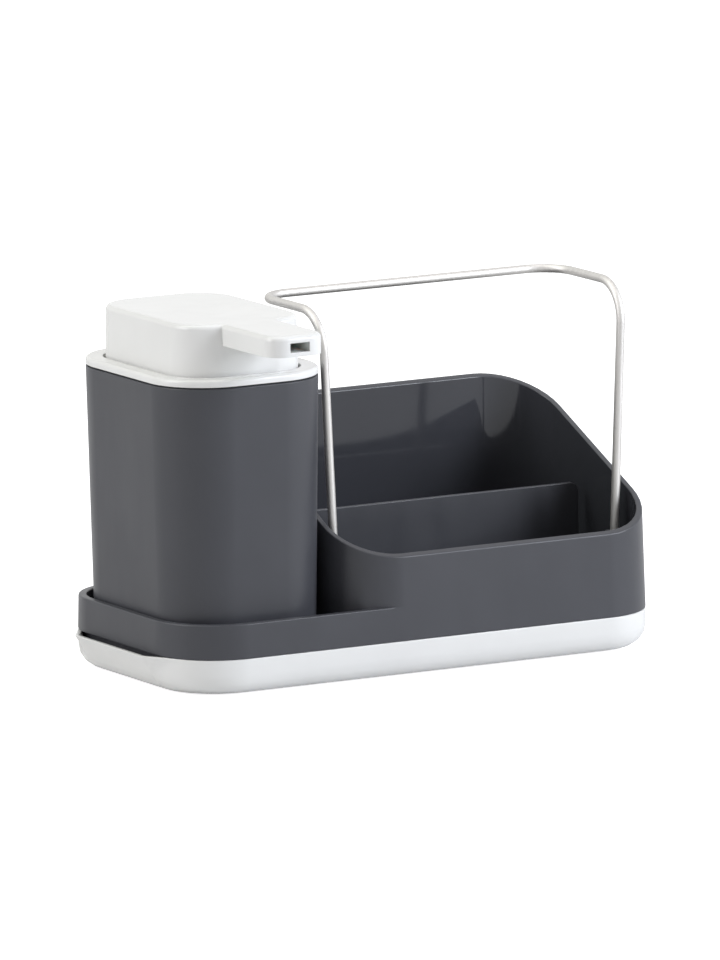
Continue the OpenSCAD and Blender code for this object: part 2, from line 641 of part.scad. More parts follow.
module pump_head() color("#f1f1ee") difference() {
    union() {
        on_axis() loft([head_ring(head_under_z, 0),
            for (e = top_edge(head_z, head_edge_r)) head_ring(e[0], e[1])]);
        along_spout() loft([ring(spout_plan(0), spout_under_z),
            for (e = top_edge(head_z, head_edge_r)) ring(spout_plan(e[1]), e[0])]);
    }
    on_axis() loft([head_ring(head_under_z - over, head_t), head_ring(ceiling_z, head_t)]);
    // Hollow of the spout, open below in front of the head
    intersection() {
        along_spout() loft([ring(spout_plan(head_t), spout_under_z - over), ring(spout_plan(head_t), ceiling_z)]);
        on_axis(spout_under_z - 2 * over) translate([-spout_w, -spout_reach, 0])
            cube([2 * spout_w, spout_reach - head_front, spout_t + 2 * over]);
    }
    // Way for the channel through the front wall of the head
    on_axis(spout_under_z + plate_t / 2) translate([head_t - spout_w / 2, -head_front - over, 0])
        cube([spout_w - 2 * head_t, head_t + 2 * over, ceiling_z - spout_under_z - plate_t / 2]);
    on_axis(outlet_z - outlet_h / 2) translate([-outlet_w / 2, -spout_reach - over, 0])
        cube([outlet_w, head_t + 2 * over, outlet_h]);
}

module spout_channel() color("#e6e7e4") difference() {
    union() {
        on_axis(outlet_z - duct_h / 2) translate([-duct_w / 2, -duct_l, 0]) cube([duct_w, duct_l, duct_h]);
        on_axis(boss_z) cylinder(h = ceiling_z - boss_z, d = boss_d);
        // Plate that closes the spout from below
        intersection() {
            along_spout() translate([0, 0, spout_under_z]) linear_extrude(plate_t)
                polygon(spout_plan(head_t + running_fit));
            on_axis(spout_under_z - over) translate([-spout_w, -spout_reach, 0])
                cube([2 * spout_w, spout_reach - head_front - running_fit, plate_t + 2 * over]);
        }
    }
    on_axis(outlet_z - outlet_h / 2) translate([-outlet_w / 2, -spout_reach, 0])
        cube([outlet_w, spout_reach + stem_bore / 2, outlet_h]);
    on_axis(boss_z - over) cylinder(h = stem_z - boss_z + over, d = stem_d + 2 * snug_fit);
    on_axis(stem_z - over) cylinder(h = outlet_z - stem_z + over, d = stem_bore);
}

module pump_stem() color("#e6e7e4") on_axis() difference() {
    union() {
        translate([0, 0, stem_foot_z]) cylinder(h = stem_l, d = stem_d);
        translate([0, 0, stem_foot_z]) cylinder(h = foot_t, d = foot_d);
    }
    translate([0, 0, stem_foot_z - over]) cylinder(h = pocket_z - seat_t - stem_foot_z + over, d = stem_bore);
    translate([0, 0, pocket_z - seat_t - over]) cylinder(h = seat_t + 2 * over, d = inlet_d);
    translate([0, 0, pocket_z]) cylinder(h = stem_z - pocket_z + over, d = pocket_d);
}

module piston_seal() color("#3c3f42") on_axis(piston_z) difference() {
    cylinder(h = piston_h, d = bore_d - 2 * running_fit);
    translate([0, 0, -over]) cylinder(h = piston_h + 2 * over, d = stem_d + 2 * snug_fit);
    // Waist between the two sealing lips
    translate([0, 0, piston_h / 3]) difference() {
        cylinder(h = piston_h / 3, d = bore_d);
        translate([0, 0, -over]) cylinder(h = piston_h / 3 + 2 * over, d = (bore_d + stem_d) / 2);
    }
}

module return_spring() color("#b9bcbf") on_axis() loft([for (c = spring_centres)
    round_ring(c, spring_wire, -[c.x, c.y, 0] / spring_r, [0, 0, 1], tube_sides)]);

drip_tray();
caddy_body();
divider();
towel_bar();
bottle_shell();
bottle_lid();
lid_seal();
cylinder_gasket();
pump_cylinder();
lock_nut();
stem_guide();
inlet_ball();
dip_tube();
pump_head();
spout_channel();
pump_stem();
piston_seal();
outlet_ball();
return_spring();
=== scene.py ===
"""Looks of a soap pump caddy.

A pump bottle stands in a low-walled bay, beside a basket with a sloped rim, a divider and a wire
towel bar. The caddy stands on a drip tray with a pouring lip. Sizes are in metres.
"""

import logging
import math
from dataclasses import dataclass, field
from enum import Enum
from functools import lru_cache
from typing import Callable, Dict, Optional, Sequence, Tuple, Union

import bmesh
import bpy
from mathutils import Matrix, Vector


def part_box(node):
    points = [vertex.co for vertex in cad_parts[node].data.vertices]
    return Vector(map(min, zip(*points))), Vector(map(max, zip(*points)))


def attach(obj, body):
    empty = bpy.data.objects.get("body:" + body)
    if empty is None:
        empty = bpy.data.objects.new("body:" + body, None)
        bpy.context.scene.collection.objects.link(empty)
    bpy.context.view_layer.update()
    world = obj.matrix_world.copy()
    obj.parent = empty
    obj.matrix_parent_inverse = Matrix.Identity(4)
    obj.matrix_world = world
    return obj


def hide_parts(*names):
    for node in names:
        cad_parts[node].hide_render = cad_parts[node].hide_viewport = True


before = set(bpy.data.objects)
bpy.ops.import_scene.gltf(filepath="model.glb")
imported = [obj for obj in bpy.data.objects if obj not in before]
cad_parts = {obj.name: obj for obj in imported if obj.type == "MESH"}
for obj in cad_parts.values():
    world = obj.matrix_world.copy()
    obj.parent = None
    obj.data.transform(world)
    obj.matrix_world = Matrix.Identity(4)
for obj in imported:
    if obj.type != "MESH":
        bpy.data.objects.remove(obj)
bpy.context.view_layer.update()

MM = 0.001
# Points closer than CLOSE are one. A copied mesh is looser, and a cut edge can be NEAR its height.
CLOSE = 1e-6
LOOSE = 5 * CLOSE
NEAR = 20 * CLOSE
# Faces that turn less than this from one to the next are one face.
FLAT = math.radians(0.4)
# Share of a direction along z from which it counts as upright, and below which as level.
UPRIGHT = 0.9
LEVEL = 0.3
log = logging.getLogger("soap_pump_caddy")

Colour = Tuple[float, float, float]
FaceTest = Callable[[bmesh.types.BMFace], bool]
EdgeTest = Callable[[bmesh.types.BMEdge], bool]


class Body(Enum):
    """Moving bodies of the caddy, by their names in the frame."""

    TRAY = "tray"
    CADDY = "caddy"
    DIVIDER = "divider_plate"
    BAR = "bar"
    BOTTLE = "bottle"
    LID = "lid_and_pump"
    HEAD = "head"


class Slot(Enum):
    """Material slots of the record."""

    GRAPHITE = "graphite_plastic"
    WHITE = "white_plastic"
    NATURAL = "natural_plastic"
    WIRE = "steel_wire"
    SPRING = "spring_steel"
    VALVE = "valve_steel"
    RUBBER = "dark_rubber"


def linear(red: int, green: int, blue: int) -> Colour:
    """Turn a screen colour into the linear colour that a shader takes, by the sRGB curve.

    Args:
        red: Red, from 0 to 255.
        green: Green, from 0 to 255.
        blue: Blue, from 0 to 255.

    Returns:
        The colour as three linear shares.
    """

    def one(value: int) -> float:
        """Turn one channel."""
        share = value / 255
        return share / 12.92 if share <= 0.04045 else ((share + 0.055) / 1.055) ** 2.4

    return one(red), one(green), one(blue)


class NodeTree:
    """A material's node tree, with short ways to add nodes and link them."""

    def __init__(self, name: str) -> None:
        """Start a material with one Principled shader.

        Args:
            name: Name of the material.
        """
        self.material = bpy.data.materials.new(name)
        self.material.use_nodes = True
        self.tree = self.material.node_tree
        self.shader = next(n for n in self.tree.nodes if n.type == "BSDF_PRINCIPLED")
        self.coords = self.add("ShaderNodeTexCoord")

    def add(self, kind: str, **settings: object) -> bpy.types.Node:
        """Add a node.

        Args:
            kind: Blender's name for the node type.
            **settings: Attributes to set on the node.

        Returns:
            The new node.
        """
        node = self.tree.nodes.new(kind)
        for key, value in settings.items():
            setattr(node, key, value)
        return node

    def link(self, source: bpy.types.NodeSocket, target: bpy.types.NodeSocket) -> None:
        """Link one socket to another."""
        self.tree.links.new(source, target)

    def set(self, **sockets: object) -> None:
        """Set constant values on the shader, by socket name with underscores for spaces."""
        for key, value in sockets.items():
            self.shader.inputs[key.replace("_", " ")].default_value = value

    def noise(self, scale: float, detail: float, stretch: Sequence[float] = (1, 1, 1)) -> bpy.types.Node:
        """Add a noise pattern on object coordinates.

        Args:
            scale: Scale of the noise, in waves per metre.
            detail: Number of octaves.
            stretch: Scale of each axis before the noise.

        Returns:
            The noise node.
        """
        mapping = self.add("ShaderNodeMapping")
        mapping.inputs["Scale"].default_value = tuple(stretch)
        self.link(self.coords.outputs["Object"], mapping.inputs["Vector"])
        node = self.add("ShaderNodeTexNoise")
        node.inputs["Scale"].default_value = scale
        node.inputs["Detail"].default_value = detail
        self.link(mapping.outputs["Vector"], node.inputs["Vector"])
        return node

    def ramp(self, source: bpy.types.NodeSocket, low: object, high: object,
             start: float = 0.35, end: float = 0.65) -> bpy.types.Node:
        """Spread a value between two greys or colours.

        Args:
            source: Socket that drives the ramp.
            low: Grey or colour at the start.
            high: Grey or colour at the end.
            start: Place of the low stop.
            end: Place of the high stop.

        Returns:
            The ramp node.
        """
        node = self.add("ShaderNodeValToRGB")
        for stop, place, value in zip(node.color_ramp.elements, (start, end), (low, high)):
            stop.position = place
            stop.color = (*value, 1) if isinstance(value, tuple) else (value, value, value, 1)
        self.link(source, node.inputs["Fac"])
        return node

    def bump(self, height: bpy.types.NodeSocket, strength: float, distance: float,
             under: Optional[bpy.types.Node] = None) -> bpy.types.Node:
        """Add a bump from a height, on top of another bump if one is given.

        Args:
            height: Socket with the height.
            strength: Strength of the bump.
            distance: Depth of the bump in metres.
            under: Bump below this one.

        Returns:
            The bump node.
        """
        node = self.add("ShaderNodeBump")
        node.inputs["Strength"].default_value = strength
        node.inputs["Distance"].default_value = distance
        self.link(height, node.inputs["Height"])
        if under is not None:
            self.link(under.outputs["Normal"], node.inputs["Normal"])
        return node


@dataclass(frozen=True)
class MouldedPlastic:
    """Injection-moulded plastic with a fine grain, faint flow marks and uneven gloss."""

    name: str
    colour: Colour
    fade: float
    gloss_from: float
    gloss_to: float
    grain: float
    grain_scale: float = 2600.0
    grain_depth: float = 0.02 * MM
    cloud_scale: float = 34.0
    smear_scale: float = 70.0
    smear_stretch: Tuple[float, float, float] = (1, 1, 0.35)
    flow: float = 0.12
    flow_scale: float = 22.0
    flow_stretch: Tuple[float, float, float] = (1, 1, 0.2)
    flow_depth: float = 0.12 * MM
    specular: float = 0.5
    coat: float = 0.0
    coat_gloss: float = 0.12
    glow: float = 0.0
    glow_depth: float = 2 * MM

    def material(self) -> bpy.types.Material:
        """Build the material.

        Returns:
            The new material.
        """
        nodes = NodeTree(self.name)
        cloud = nodes.noise(self.cloud_scale, 3)
        paler = tuple(min(1.0, share * (1 + self.fade)) for share in self.colour)
        darker = tuple(share * (1 - self.fade) for share in self.colour)
        tint = nodes.ramp(cloud.outputs["Fac"], darker, paler)
        nodes.link(tint.outputs["Color"], nodes.shader.inputs["Base Color"])
        smears = nodes.noise(self.smear_scale, 4, self.smear_stretch)
        gloss = nodes.ramp(smears.outputs["Fac"], self.gloss_from, self.gloss_to)
        nodes.link(gloss.outputs["Color"], nodes.shader.inputs["Roughness"])
        grain = nodes.noise(self.grain_scale, 2)
        fine = nodes.bump(grain.outputs["Fac"], self.grain, self.grain_depth)
        flow = nodes.noise(self.flow_scale, 1, self.flow_stretch)
        wavy = nodes.bump(flow.outputs["Fac"], self.flow, self.flow_depth, fine)
        nodes.link(wavy.outputs["Normal"], nodes.shader.inputs["Normal"])
        nodes.set(Specular_IOR_Level=self.specular, Coat_Weight=self.coat,
                  Coat_Roughness=self.coat_gloss, Subsurface_Weight=self.glow,
                  Subsurface_Scale=self.glow_depth)
        return nodes.material


@dataclass(frozen=True)
class DrawnSteel:
    """Drawn or turned steel with fine lines along one axis."""

    name: str
    colour: Colour
    gloss_from: float
    gloss_to: float
    lines: Tuple[float, float, float] = (1, 1, 1)
    line_scale: float = 900.0
    line_shade: float = 0.92
    line_bump: float = 0.04
    line_depth: float = 0.01 * MM

    def material(self) -> bpy.types.Material:
        """Build the material.

        Returns:
            The new material.
        """
        nodes = NodeTree(self.name)
        lines = nodes.noise(self.line_scale, 3, self.lines)
        darker = tuple(self.line_shade * share for share in self.colour)
        tint = nodes.ramp(lines.outputs["Fac"], darker, self.colour)
        nodes.link(tint.outputs["Color"], nodes.shader.inputs["Base Color"])
        gloss = nodes.ramp(lines.outputs["Fac"], self.gloss_from, self.gloss_to)
        nodes.link(gloss.outputs["Color"], nodes.shader.inputs["Roughness"])
        fine = nodes.bump(lines.outputs["Fac"], self.line_bump, self.line_depth)
        nodes.link(fine.outputs["Normal"], nodes.shader.inputs["Normal"])
        nodes.set(Metallic=1.0)
        return nodes.material


@dataclass(frozen=True)
class Finishes:
    """Every finish of the caddy, as materials."""

    graphite: bpy.types.Material
    polished: bpy.types.Material
    white: bpy.types.Material
    natural: bpy.types.Material
    wire: bpy.types.Material
    spring: bpy.types.Material
    valve: bpy.types.Material
    rubber: bpy.types.Material

    @classmethod
    def mixed(cls) -> "Finishes":
        """Mix all finishes of the caddy.

        Returns:
            The finishes.
        """
        grey = linear(63, 64, 69)
        return cls(
            graphite=MouldedPlastic("graphite_plastic", grey, 0.03, 0.34, 0.42, 0.25,
                                    specular=0.4).material(),
            polished=MouldedPlastic("graphite_plastic_polished", grey, 0.03, 0.05, 0.09, 0.03,
                                    specular=0.4).material(),
            white=MouldedPlastic("white_plastic", linear(229, 229, 227), 0.012, 0.22, 0.26, 0.02,
                                 flow=0.0, coat=0.2).material(),
            natural=MouldedPlastic("natural_plastic", linear(222, 224, 220), 0.02, 0.3, 0.4, 0.08,
                                   glow=0.15).material(),
            wire=DrawnSteel("steel_wire", linear(198, 196, 193), 0.5, 0.56, (1, 1, 0.04)).material(),
            spring=DrawnSteel("spring_steel", linear(190, 190, 190), 0.22, 0.3).material(),
            valve=DrawnSteel("valve_steel", linear(200, 201, 203), 0.06, 0.1).material(),
            rubber=MouldedPlastic("dark_rubber", linear(38, 39, 41), 0.08, 0.6, 0.72, 0.5,
                                  specular=0.35).material(),
        )

    def by_slot(self) -> Dict[Slot, bpy.types.Material]:
        """Give the material of each slot of the record."""
        return {Slot.GRAPHITE: self.graphite, Slot.WHITE: self.white, Slot.NATURAL: self.natural,
                Slot.WIRE: self.wire, Slot.SPRING: self.spring, Slot.VALVE: self.valve,
                Slot.RUBBER: self.rubber}


def deselect_all() -> None:
    """Leave edit mode and deselect every object."""
    if bpy.context.object and bpy.context.object.mode != "OBJECT":
        bpy.ops.object.mode_set(mode="OBJECT")
    bpy.ops.object.select_all(action="DESELECT")


def take(obj: bpy.types.Object) -> bpy.types.Object:
    """Make an object the only selected and the active one."""
    deselect_all()
    obj.select_set(True)
    bpy.context.view_layer.objects.active = obj
    return obj


def at_height(part: Union[bmesh.types.BMFace, bmesh.types.BMEdge], z: float, reach: float = CLOSE) -> bool:
    """Tell whether all points of a face or an edge lie within a reach of a height."""
    return all(abs(vert.co.z - z) < reach for vert in part.verts)


def direction(azimuth: float, elevation: float) -> Vector:
    """Give the direction of a place round the caddy, from its angles in radians."""
    level = math.cos(elevation)
    return Vector((math.sin(azimuth) * level, -math.cos(azimuth) * level, math.sin(elevation)))


class Workpiece:
    """A mesh on the bench, shaped step by step with mesh operators.

    Attributes:
        quad_turn: Two triangles that turn more than this from each other stay triangles.
        quad_skew: So do two that would make a face skewed by more than this.
    """

    quad_turn = math.radians(12)
    quad_skew = math.radians(60)

    def __init__(self, obj: bpy.types.Object, name: str) -> None:
        """Name the mesh and put its place into its points.

        Args:
            obj: Fresh primitive or copied mesh.
            name: Name of the piece.
        """
        self.obj = take(obj)
        obj.name = name
        obj.data.name = name
        bpy.ops.object.transform_apply(location=True, rotation=True, scale=True)

    @classmethod
    def plate(cls, name: str, ends: Tuple[float, float], half_w: float, radii: Tuple[float, float],
              z: float, steps: int = 12) -> "Workpiece":
        """Lay a flat plate with rounded corners, doubled so that it can be drawn out both ways.

        Args:
            name: Name of the piece.
            ends: Lowest and highest x.
            half_w: Half the width, along y.
            radii: Corner radius at each end, 0 for square corners.
            z: Height of the plate.
            steps: Segments of each corner.

        Returns:
            The piece, in edit mode with its moving face selected.
        """
        middle = sum(ends) / 2
        deselect_all()
        bpy.ops.mesh.primitive_plane_add(size=1, location=(middle, 0, z))
        obj = bpy.context.object
        obj.scale = (ends[1] - ends[0], 2 * half_w, 1)
        piece = cls(obj, name)
        for side, radius in zip((-1, 1), radii):
            if not radius:
                continue
            piece.edit("VERT")
            mesh = piece.mesh()
            limit = max(vert.co.x * side for vert in mesh.verts)
            for vert in mesh.verts:
                vert.select_set(limit - vert.co.x * side < CLOSE and (vert.co.x - middle) * side > 0)
            mesh.select_flush_mode()
            bmesh.update_edit_mesh(piece.obj.data)
            bpy.ops.mesh.bevel(offset=radius, offset_type="OFFSET", segments=steps, profile=0.5,
                               affect="VERTICES")
        return piece.doubled()

    @classmethod
    def disc(cls, name: str, centre: Tuple[float, float, float], radius: float,
             sides: int = 48) -> "Workpiece":
        """Lay a round plate, doubled in the same way.

        Args:
            name: Name of the piece.
            centre: Middle of the disc.
            radius: Radius of the disc.
            sides: Number of sides.

        Returns:
            The piece, in edit mode with its moving face selected.
        """
        deselect_all()
        bpy.ops.mesh.primitive_circle_add(vertices=sides, radius=radius, fill_type="NGON", location=centre)
        return cls(bpy.context.object, name).doubled()

    @classmethod
    def copy_of(cls, node: str, name: str) -> "Workpiece":
        """Copy a CAD node's mesh and merge its loose triangles.

        Args:
            node: CAD node.
            name: Name of the piece.

        Returns:
            The piece, in object mode.
        """
        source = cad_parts[node]
        obj = bpy.data.objects.new(name, source.data.copy())
        bpy.context.scene.collection.objects.link(obj)
        obj.data.materials.clear()
        piece = cls(obj, name)
        piece.clean(LOOSE)
        bpy.ops.mesh.tris_convert_to_quads(face_threshold=cls.quad_turn, shape_threshold=cls.quad_skew)
        deselect_all()
        return piece

    @classmethod
    def block(cls, name: str, middle: Sequence[float], size: Sequence[float]) -> "Workpiece":
        """Set up a block.

        Args:
            name: Name of the piece.
            middle: Middle of the block.
            size: Size along each axis.

        Returns:
            The piece, in object mode.
        """
        deselect_all()
        bpy.ops.mesh.primitive_cube_add(size=1, location=middle)
        bpy.context.object.scale = size
        return cls(bpy.context.object, name)

    def edit(self, mode: str = "FACE") -> None:
        """Enter edit mode in a select mode: VERT, EDGE or FACE."""
        take(self.obj)
        bpy.ops.object.mode_set(mode="EDIT")
        bpy.ops.mesh.select_mode(type=mode)

    def mesh(self) -> bmesh.types.BMesh:
        """Give the mesh in edit mode, to select by place or normal."""
        return bmesh.from_edit_mesh(self.obj.data)

    def doubled(self) -> "Workpiece":
        """Draw the flat face out by nothing, so that one copy stays and one moves."""
        self.edit("FACE")
        bpy.ops.mesh.select_all(action="SELECT")
        bpy.ops.mesh.extrude_region_move()
        return self

    def step(self, inset: float, rise: float) -> "Workpiece":
        """Draw the selected face out: in by an inset and up by a rise.

        Args:
            inset: How far the outline moves in.
            rise: How far the face moves up, or down if negative.

        Returns:
            This piece.
        """
        if inset > 0:
            bpy.ops.mesh.inset(thickness=inset, depth=0, use_boundary=True, use_even_offset=True)
            if rise:
                bpy.ops.transform.translate(value=(0, 0, rise))
        else:
            bpy.ops.mesh.extrude_region_move(TRANSFORM_OT_translate={"value": (0, 0, rise)})
        return self

    def round_off(self, radius: float, way: int, steps: int = 5) -> "Workpiece":
        """Round the edge of the selected face with a quarter circle.

        Args:
            radius: Radius of the edge.
            way: 1 for upwards, -1 for downwards.
            steps: Segments of the quarter circle.

        Returns:
            This piece.
        """
        for i in range(steps):
            a, b = (math.pi / 2 * k / steps for k in (i, i + 1))
            self.step(radius * (math.cos(a) - math.cos(b)), way * radius * (math.sin(b) - math.sin(a)))
        return self

    def pick(self, z: float) -> "Workpiece":
        """Select the flat faces at a height."""
        smallest = MM * CLOSE
        return self.pick_faces(lambda face: face.calc_area() > smallest and at_height(face, z))

    def pick_faces(self, test: FaceTest) -> "Workpiece":
        """Select the faces that pass a test.

        Args:
            test: Test of one face.

        Returns:
            This piece.
        """
        mesh = self.mesh()
        for face in mesh.faces:
            face.select_set(test(face))
        mesh.select_flush_mode()
        bmesh.update_edit_mesh(self.obj.data)
        return self

    def closed(self) -> "Workpiece":
        """Merge doubled points, turn all faces outwards and leave edit mode."""
        bpy.ops.mesh.select_all(action="SELECT")
        bpy.ops.mesh.remove_doubles(threshold=CLOSE)
        bpy.ops.mesh.normals_make_consistent(inside=False)
        deselect_all()
        return self

    def combine(self, other: "Workpiece", how: str) -> "Workpiece":
        """Join, cut or trim with another piece, which is used up.

        Args:
            other: The second piece.
            how: UNION, DIFFERENCE or INTERSECT.

        Returns:
            This piece.
        """
        take(self.obj)
        modifier = self.obj.modifiers.new("combine", "BOOLEAN")
        modifier.operation = how
        modifier.solver = "EXACT"
        modifier.object = other.obj
        bpy.ops.object.modifier_apply(modifier=modifier.name)
        bpy.data.objects.remove(other.obj)
        self.clean(CLOSE)
        deselect_all()
        return self

    def clean(self, reach: float) -> None:
        """Merge points closer than a reach, and faces that lie flat beside each other.

        Args:
            reach: Distance below which points are one.
        """
        self.edit("VERT")
        bpy.ops.mesh.select_all(action="SELECT")
        bpy.ops.mesh.remove_doubles(threshold=reach)
        bpy.ops.mesh.dissolve_limited(angle_limit=FLAT)

    def levelled(self, z: float) -> "Workpiece":
        """Bring the flat faces at a height to exactly that height.

        Args:
            z: Height of the faces.

        Returns:
            This piece.
        """
        self.edit("FACE")
        self.pick(z)
        bpy.ops.transform.resize(value=(1, 1, 0), center_override=(0, 0, z))
        deselect_all()
        return self

    def parted(self) -> "Workpiece":
        """Part the faces that have a hollow outline, so that they shade evenly."""
        self.edit("FACE")
        bpy.ops.mesh.select_all(action="SELECT")
        bpy.ops.mesh.vert_connect_concave()
        deselect_all()
        return self

    def soften(self, width: float, steps: int = 3, above: float = 40.0) -> "Workpiece":
        """Bevel the sharp edges.

        Args:
            width: Width of the bevel.
            steps: Segments of the bevel.
            above: Edges sharper than this many degrees are bevelled.

        Returns:
            This piece.
        """
        take(self.obj)
        modifier = self.obj.modifiers.new("soften", "BEVEL")
        modifier.width = width
        modifier.segments = steps
        modifier.limit_method = "ANGLE"
        modifier.angle_limit = math.radians(above)
        modifier.miter_outer = "MITER_ARC"
        modifier.use_clamp_overlap = True
        bpy.ops.object.modifier_apply(modifier=modifier.name)
        return self

    def round_edges(self, test: EdgeTest, width: float, steps: int = 3, above: float = 50.0) -> "Workpiece":
        """Round the sharp edges that pass a test.

        Args:
            test: Test of one edge.
            width: Width of the bevel.
            steps: Segments of the bevel.
            above: Only outer edges sharper than this many degrees are rounded.

        Returns:
            This piece.
        """
        self.edit("EDGE")
        for edge in self.mesh().edges:
            sharp = edge.is_convex and edge.calc_face_angle() > math.radians(above)
            edge.select_set(sharp and test(edge))
        bmesh.update_edit_mesh(self.obj.data)
        bpy.ops.mesh.bevel(offset=width, offset_type="OFFSET", segments=steps, profile=0.5, affect="EDGES",
                           clamp_overlap=False, miter_outer="ARC")
        deselect_all()
        return self

    def split(self, x: float, test: FaceTest) -> "Workpiece":
        """Cut faces along an upright plane, so that their edges end there.

        Args:
            x: Place of the plane.
            test: Test of the faces to cut.

        Returns:
            This piece.
        """
        self.edit("FACE")
        self.pick_faces(test)
        bpy.ops.mesh.bisect(plane_co=(x, 0, 0), plane_no=(1, 0, 0))
        deselect_all()
        return self

    def smoothed(self, below: float = 35.0) -> "Workpiece":
        """Shade smooth below an angle, with flats kept flat.

        Args:
            below: Edges blunter than this many degrees are smooth.

        Returns:
            This piece.
        """
        take(self.obj)
        bpy.ops.object.shade_smooth_by_angle(angle=math.radians(below))
        modifier = self.obj.modifiers.new("flats", "WEIGHTED_NORMAL")
        modifier.keep_sharp = True
        bpy.ops.object.modifier_apply(modifier=modifier.name)
        return self

    def moved(self, x: float, y: float = 0.0, z: float = 0.0) -> "Workpiece":
        """Move the whole piece.

        Args:
            x: Move along x.
            y: Move along y.
            z: Move along z.

        Returns:
            This piece.
        """
        take(self.obj)
        self.obj.location = (x, y, z)
        bpy.ops.object.transform_apply(location=True, rotation=True, scale=True)
        return self

    def dress(self, material: bpy.types.Material, body: Body, slot: Slot, *nodes: str) -> bpy.types.Object:
        """Give the finished piece its material and its place in the frame.

        Args:
            material: Finish of the piece.
            body: Body that it rides on.
            slot: Material slot of the record; not used.
            *nodes: CAD nodes that it stands for.

        Returns:
            The finished object.
        """
        self.obj.data.materials.clear()
        self.obj.data.materials.append(material)
        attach(self.obj, body.value)
        if nodes:
            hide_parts(*nodes)
        log.info("%s: %d faces", self.obj.name, len(self.obj.data.polygons))
        return self.obj

    def paint(self, material: bpy.types.Material, test: FaceTest) -> "Workpiece":
        """Give the faces that pass a test a finish of their own.

        Args:
            material: Finish of these faces.
            test: Test of one face.

        Returns:
            This piece.
        """
        self.obj.data.materials.append(material)
        self.edit("FACE")
        self.pick_faces(test)
        self.obj.active_material_index = len(self.obj.data.materials) - 1
        bpy.ops.object.material_slot_assign()
        deselect_all()
        return self


@lru_cache(maxsize=None)
def box_of(node: str) -> Tuple[Vector, Vector]:
    """Give the lowest and highest corner of a CAD node."""
    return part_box(node)


@dataclass
class DripTray:
    """White tray under the caddy, with a pouring lip at the bottle end."""

    rim_round: float = 0.5 * MM

    def build(self, finishes: Finishes) -> None:
        """Make and dress the tray.

        Args:
            finishes: Finishes of the caddy.
        """
        rim_z = box_of("drip_tray")[1].z
        piece = Workpiece.copy_of("drip_tray", "tray_shell")
        piece.round_edges(lambda edge: at_height(edge, rim_z), self.rim_round).smoothed(below=40)
        piece.dress(finishes.white, Body.TRAY, Slot.WHITE, "drip_tray")


@dataclass
class CaddyBody:
    """Graphite body: low-walled bay, basket with a sloped rim, floor and leg sockets."""

    seat_z: float = 14.8 * MM
    floor_z: float = 18 * MM
    guard_z: float = 28.8 * MM
    rim_z: float = 48.2 * MM
    rim_rate: float = math.tan(math.radians(24.8))
    basket_x: float = -36.7 * MM
    guard_end_x: float = -17.2 * MM
    edge_round: float = 0.55 * MM

    def rims(self) -> EdgeTest:
        """Make the test of the edges on the sloped rim, the guard and the seat.

        Returns:
            The test, true on one of the three.
        """
        low, high = box_of("caddy_body")

        def on_rim(edge: bmesh.types.BMEdge) -> bool:
            """Test one edge."""
            ends = [vert.co for vert in edge.verts]
            if at_height(edge, self.guard_z, NEAR):
                outer = any(high.y - abs(p.y) < MM or p.x - low.x < MM for p in ends)
                return all(p.x < (self.guard_end_x if outer else self.basket_x) + CLOSE for p in ends)
            sloped = all(abs(p.z - self.rim_z - self.rim_rate * (p.y - low.y)) < NEAR for p in ends)
            return sloped or at_height(edge, self.seat_z, NEAR)

        return on_rim

    def in_basket(self, face: bmesh.types.BMFace) -> bool:
        """Tell whether a face is a wall or the floor inside the basket.

        Args:
            face: Face of the body.

        Returns:
            True inside the basket.
        """
        place, normal = face.calc_center_median(), face.normal
        inwards = normal.x * ((self.basket_x + box_of("caddy_body")[1].x) / 2 - place.x) > normal.y * place.y
        wall = abs(normal.z) < LEVEL and inwards
        floor = normal.z > UPRIGHT and place.z < self.floor_z + MM
        return place.x > self.basket_x + MM and (wall or floor)

    def build(self, finishes: Finishes) -> None:
        """Make and dress the body.

        Args:
            finishes: Finishes of the caddy.
        """
        piece = Workpiece.copy_of("caddy_body", "caddy_shell")
        for x in (self.basket_x, self.guard_end_x):
            piece.split(x, lambda face: at_height(face, self.guard_z, NEAR))
        piece.round_edges(self.rims(), self.edge_round).smoothed(below=40)
        piece.dress(finishes.graphite, Body.CADDY, Slot.GRAPHITE, "caddy_body")
        piece.paint(finishes.polished, self.in_basket)


@dataclass
class Divider:
    """Plate that parts the basket, with one round top corner."""

    corner: float = 4 * MM
    foot_corner: float = 3 * MM
    edge_round: float = 0.45 * MM

    def build(self, finishes: Finishes) -> None:
        """Make and dress the divider.

        Args:
            finishes: Finishes of the caddy.
        """
        low, high = box_of("divider")
        piece = Workpiece.block("divider_plate", (low + high) / 2, high - low)
        piece.round_edges(lambda edge: all(v.co.x > high.x - CLOSE and v.co.z > high.z - CLOSE
                                           for v in edge.verts), self.corner, steps=8)
        piece.round_edges(lambda edge: all(v.co.z < low.z + CLOSE for v in edge.verts)
                          and abs(edge.verts[0].co.x - edge.verts[1].co.x) < CLOSE, self.foot_corner,
                          steps=6)
        piece.soften(self.edge_round).smoothed()
        piece.dress(finishes.graphite, Body.DIVIDER, Slot.GRAPHITE, "divider")


